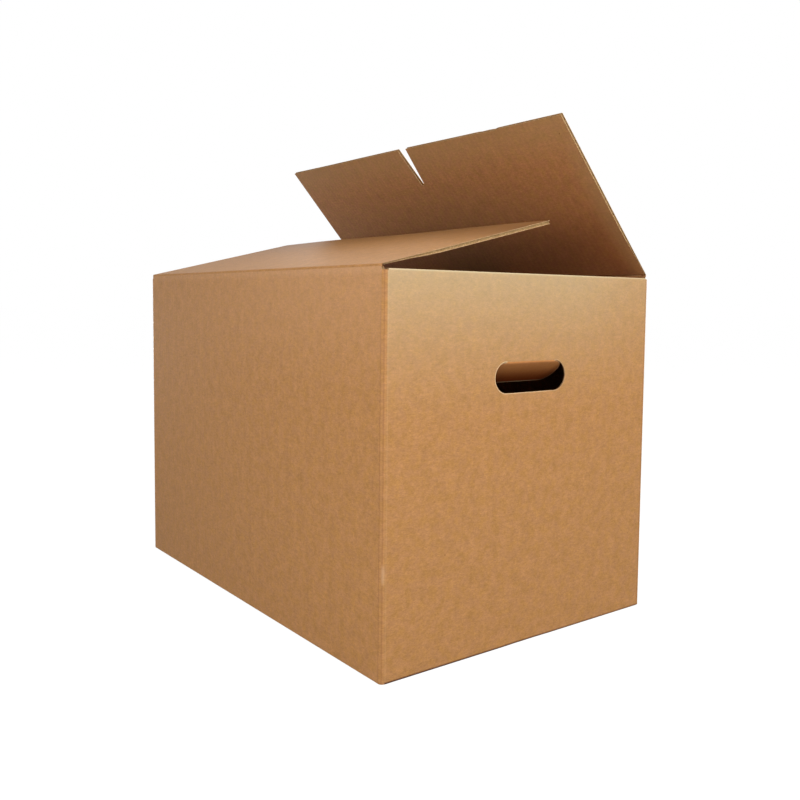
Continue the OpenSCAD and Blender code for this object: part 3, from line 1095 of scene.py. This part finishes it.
# %% Strips over the hinges
def hinge_strip(name, side, angle, bend_r=1.6, proud=0.07, sunk=0.1, thick=0.2, reach=2.6):
    """The outer paper where it bends over a hinge: up the wall's face, round an arc, and along the flap's."""
    def way(turn):
        return np.array((math.cos(turn), math.sin(turn)))

    half_open = (math.pi / 2 + angle) / 2
    from_hinge = (crease_off + bend_r) / math.sin(half_open)
    centre = np.array((-crease_x, crease_z)) + from_hinge * way(angle - half_open)
    spokes = [way(turn) for turn in np.linspace(math.pi, math.pi / 2 + angle, 9)]

    def line(r, r_end):
        """One face of the strip: up the wall, round an arc of radius r and on along the flap."""
        on_wall = centre + spokes[0] * r_end - np.array((0, reach))
        on_flap = centre + spokes[-1] * r_end + way(angle) * reach
        return np.array([on_wall, *(centre + r * spoke for spoke in spokes), on_flap])

    upper, lower = line(bend_r + proud, bend_r - sunk), line(bend_r - thick, bend_r - thick)
    ring = np.vstack((upper, lower[::-1]))
    rows_y, n = span(flap_front + 0.2, flap_back - 0.2, 12), len(ring)
    points = np.array([(-side * x, y, z) for y in rows_y for x, z in ring])
    faces = []
    for row in range(0, len(points) - n, n):
        faces += [(row + k, row + (k + 1) % n, row + n + (k + 1) % n, row + n + k) for k in range(n)]
    faces += [tuple(range(n)), tuple(len(points) - n + k for k in reversed(range(n)))]
    lengths = np.concatenate(([0], np.cumsum(np.linalg.norm(np.diff(upper, axis=0), axis=1))))
    flat = np.array([(y, v) for y in rows_y for v in (*lengths, *lengths[::-1])])
    strip = make_mesh(name, points, faces, flat, (kraft_outer,))
    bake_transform(strip)


hinge_strip("left_hinge_paper", -1, left_open)
hinge_strip("right_hinge_paper", 1, right_open)
print("hinge papers made")

# %% [markdown]
# ## The tape
# A strip of brown tape closes the seam underneath. Its ends are torn on a toothed blade.

# %% Tape
teeth, tooth_depth = 16, 1.2
tooth_w = 2 * tape_half_w / teeth
tape_outline = []
for end in (-1, 1):
    for k in range(teeth + 1):
        depth = 0.0 if k % 2 else tooth_depth
        tape_outline.append((-end * (-tape_half_w + tooth_w * k), end * (tape_half_len - depth)))
lines_x, lines_y = span(-tape_half_w, tape_half_w, 6), span(-tape_half_len, tape_half_len, 15)
tape_sheet = cut_sheet([tape_outline], lines_x, lines_y)
tape_top = tape_high.z / MM - 0.01


def lay_tape(points):
    """Lays the tape flat under the box, its glued face up."""
    return points * (1, 1, -1) + (0, 0, tape_top)


tape = folded_layer("tape_strip", tape_sheet, 0.0, tape_top - 0.03, lay_tape, (tape_plastic,))
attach(tape, "box")
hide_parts("bottom_tape")
print("tape", len(tape_sheet[1]), "triangles a side")

# %% [markdown]
# ## Light, floor and backdrop
# The photograph is lit softly from the front, from the right and above, against pure white. Large
# area lamps give that light, with weaker ones behind for the sides it doesn't show. The white
# comes from the floor and the world as the camera and reflections see them, so that no extra
# light falls on the box.

# %% World and floor
fill_level = 0.06                   # how brightly the world lights the box, where it is seen as 1
floor_grey = 0.35                   # the floor's own colour, which bounces light onto the box
floor_glow, floor_shown = 1.185, 0.84       # its white, and the share of white in what is seen of it
floor_half, floor_z = 30, -0.0004   # metres, just under the box so that the two never share a face
world = bpy.data.worlds.new("studio")
world.use_nodes = True
bpy.context.scene.world = world


def seen_directly(graph):
    """1 for the camera, and for reflections and clear materials that show the backdrop."""
    total = None
    for output in (0, 3, 6):
        ray = graph.node("ShaderNodeLightPath", {}, {}, output)
        total = ray if total is None else total.maths("MAXIMUM", ray)
    return total


sky = Graph(world.node_tree)
background = world.node_tree.nodes["Background"]
background.inputs["Color"].default_value = (1, 1, 1, 1)
sky.tree.links.new((seen_directly(sky) * (1 - fill_level) + fill_level).socket, background.inputs["Strength"])

floor_mesh = bpy.data.meshes.new("floor")
floor_corners = [(x * floor_half, y * floor_half, floor_z) for x, y in ((-1, -1), (1, -1), (1, 1), (-1, 1))]
floor_mesh.from_pydata(floor_corners, [], [(0, 1, 2, 3)])
floor = bpy.data.objects.new("floor", floor_mesh)
bpy.context.scene.collection.objects.link(floor)
floor_material, floor_graph = new_material("pale_floor")
lit = floor_material.node_tree.nodes["Principled BSDF"]
lit.inputs["Base Color"].default_value = (floor_grey, floor_grey, floor_grey, 1)
lit.inputs["Roughness"].default_value = 0.9
lit.inputs["Specular IOR Level"].default_value = 0.0
glow = floor_graph.node("ShaderNodeEmission", {}, {"Color": (1, 1, 1, 1), "Strength": floor_glow})
glow_share = seen_directly(floor_graph) * floor_shown
lit_floor = Wire(floor_graph, lit.outputs[0])
shown = floor_graph.node("ShaderNodeMixShader", {}, {0: glow_share, 1: lit_floor, 2: glow})
floor_out = floor_material.node_tree.nodes["Material Output"]
floor_graph.tree.links.new(shown.socket, floor_out.inputs["Surface"])
floor_mesh.materials.append(floor_material)
print("fill level", fill_level)


# %% Lamps
def lamp(name, place, target, size, power, tint):
    """A rectangular area lamp at a place, turned to its target. Lengths are in metres, power in watts."""
    data = bpy.data.lights.new(name, "AREA")
    data.shape, (data.size, data.size_y) = "RECTANGLE", size
    data.energy, data.color = power, tint
    piece = bpy.data.objects.new(name, data)
    bpy.context.scene.collection.objects.link(piece)
    piece.location = place
    piece.rotation_euler = (Vector(target) - Vector(place)).to_track_quat("-Z", "Y").to_euler()


lamps = (
    ("key_high", (0.7, -1.6, 2.1), (0, 0, 0.3), (1.2, 1.0), 41, (0.98, 1.0, 1.04)),
    ("front", (1.1, -2.1, 1.2), (0, 0, 0.3), (1.5, 1.2), 16, (1.0, 1.0, 0.92)),
    ("front_left", (-1.15, -1.15, 0.95), (-0.15, -0.25, 0.3), (0.7, 0.6), 15, (0.97, 1.0, 1.14)),
    ("left_low", (-2.2, -0.3, 0.4), (0, 0, 0.2), (1.2, 0.8), 15, (1.0, 0.95, 0.8)),
    ("back_right", (1.6, 2.0, 1.6), (0, 0, 0.3), (1.4, 1.4), 7, (1.0, 1.0, 1.0)),
    ("back_low", (0.0, 2.5, 0.15), (0, 0, 0.2), (0.9, 0.6), 17, (0.97, 1.0, 1.05)),
    ("right_low", (2.4, 0.3, 0.6), (0, 0, 0.2), (1.2, 0.8), 14, (1.0, 0.98, 0.95)),
)
for row in lamps:
    lamp(*row)
bpy.context.scene.view_settings.view_transform = "Standard"
print(len(lamps), "lamps")
